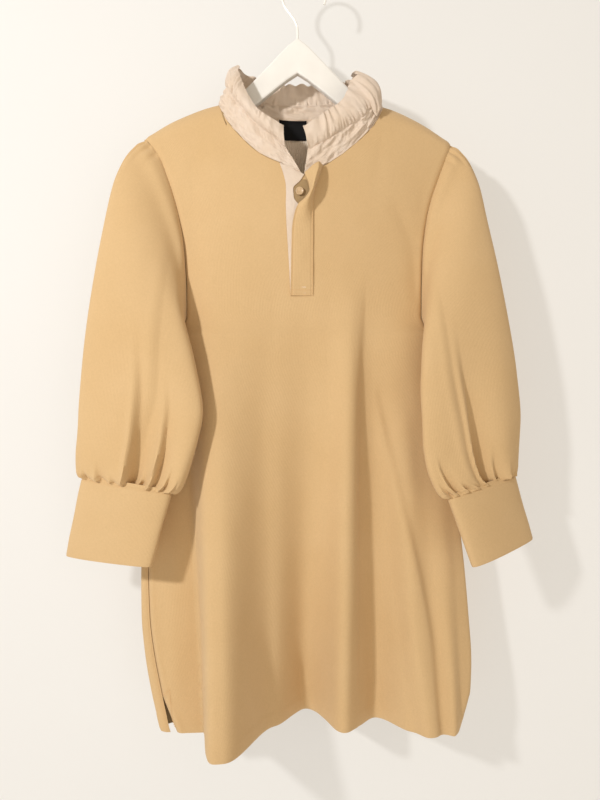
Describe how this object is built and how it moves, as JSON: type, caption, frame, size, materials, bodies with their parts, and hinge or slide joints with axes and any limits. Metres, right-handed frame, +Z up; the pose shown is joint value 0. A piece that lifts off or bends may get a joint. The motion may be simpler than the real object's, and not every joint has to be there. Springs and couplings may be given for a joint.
{
  "type": "french terry dress on a hanger",
  "caption": "Camel french terry dress with long full sleeves, deep cuffs and a cream gathered frill collar, hanging on a white hanger.",
  "frame": {"origin": "inside of the top of the hanger's hook, where it rests on the peg that holds it up", "axes": "+Z up, the dress's front faces -Y and the wall behind it is at +Y"},
  "size_m": [0.6383, 0.1827, 1.0596],
  "materials": {
    "terry": "matte loopback jersey",
    "cream_cotton": "matte plain weave",
    "button_horn": "satin",
    "label_satin": "satin weave",
    "white_lacquer": "lacquer",
    "white_wire": "gloss"
  },
  "bodies": {
    "root": {"dress_front": "terry", "dress_back": "terry", "sleeve_left": "terry", "sleeve_right": "terry", "cuff_left": "terry", "cuff_right": "terry", "collar_band": "cream_cotton", "collar_frill": "cream_cotton", "placket_under": "cream_cotton", "placket_over": "terry", "button": "button_horn", "neck_label": "label_satin", "hanger_body": "white_lacquer", "hanger_hook": "white_wire"}
  },
  "joints": []
}
